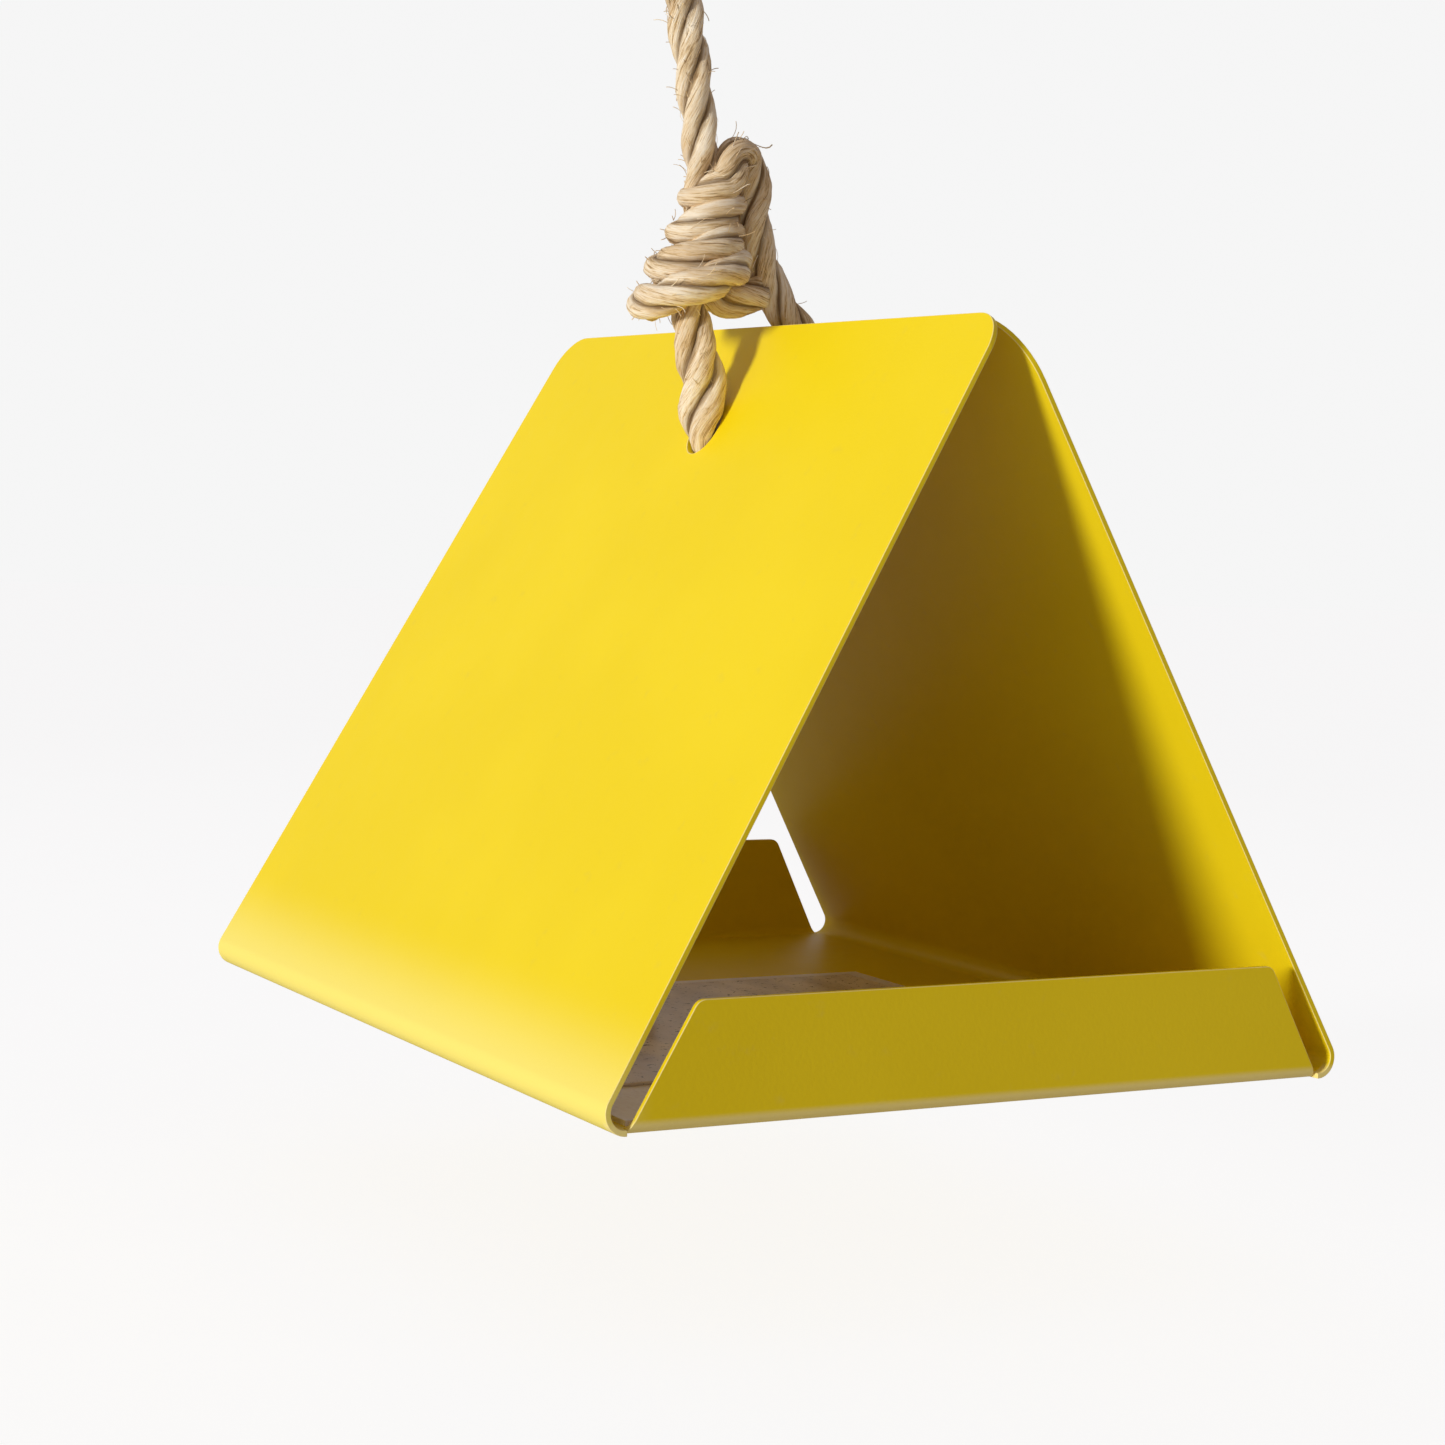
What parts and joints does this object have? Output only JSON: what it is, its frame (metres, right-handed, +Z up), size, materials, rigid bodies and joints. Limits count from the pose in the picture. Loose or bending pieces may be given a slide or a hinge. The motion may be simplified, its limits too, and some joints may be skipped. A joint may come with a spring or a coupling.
{
  "type": "hanging insect trap",
  "caption": "Tent-shaped pheromone insect trap of folded yellow sheet with lipped open ends and a sticky liner, hung on a knotted jute rope.",
  "frame": {"origin": "the hanging point, the inner top of the rope's loop, where a hook or branch bears", "axes": "+Z up, +Y along the tent's ridge from the near lip to the far lip, +X across the tent"},
  "size_m": [0.135, 0.1576, 0.2578],
  "materials": {
    "yellow_sheet": "semi-gloss powder coat",
    "card": "matt coated card",
    "glue": "tacky, half glossy",
    "lure_rubber": "matt moulded rubber",
    "jute": "laid natural fibre"
  },
  "bodies": {
    "hanging_loop": {"rope_hanging_loop": "jute"},
    "loop_knot": {"rope_loop_knot": "jute"},
    "taut_rope": {"rope_taut": "jute"},
    "sling": {"rope_knot": "jute", "rope_sling": "jute"},
    "trap": {"trap_body": "yellow_sheet"},
    "liner": {"liner_card": "card", "glue_layer": "glue"},
    "lure": {"pheromone_lure": "lure_rubber"}
  },
  "joints": [
    {"name": "sway_along", "type": "hinge", "parent": "hanging_loop", "child": "loop_knot", "pos_m": [0.01057, 0, -0.04887], "axis": [0.9774, 0, 0.2113], "range_deg": [-25, 25]},
    {"name": "twist", "type": "hinge", "parent": "loop_knot", "child": "taut_rope", "pos_m": [0.0147, 0, -0.06798], "axis": [-0.2113, 0, 0.9774], "range_deg": [-60, 60]},
    {"name": "sway_across", "type": "hinge", "parent": "taut_rope", "child": "sling", "pos_m": [0.02019, 0, -0.09339], "axis": [0, 1, 0], "range_deg": [-20, 20]},
    {"name": "trap_rock", "type": "hinge", "parent": "sling", "child": "trap", "pos_m": [0.03539, 0, -0.14829], "axis": [1, 0, 0], "range_deg": [-12, 12]},
    {"name": "liner_slide", "type": "slide", "parent": "trap", "child": "liner", "axis": [0, 1, 0], "range_m": [0, 0.048]},
    {"name": "lure_lift", "type": "slide", "parent": "liner", "child": "lure", "axis": [0, -0.92, 0.3919], "range_m": [0, 0.09]}
  ]
}
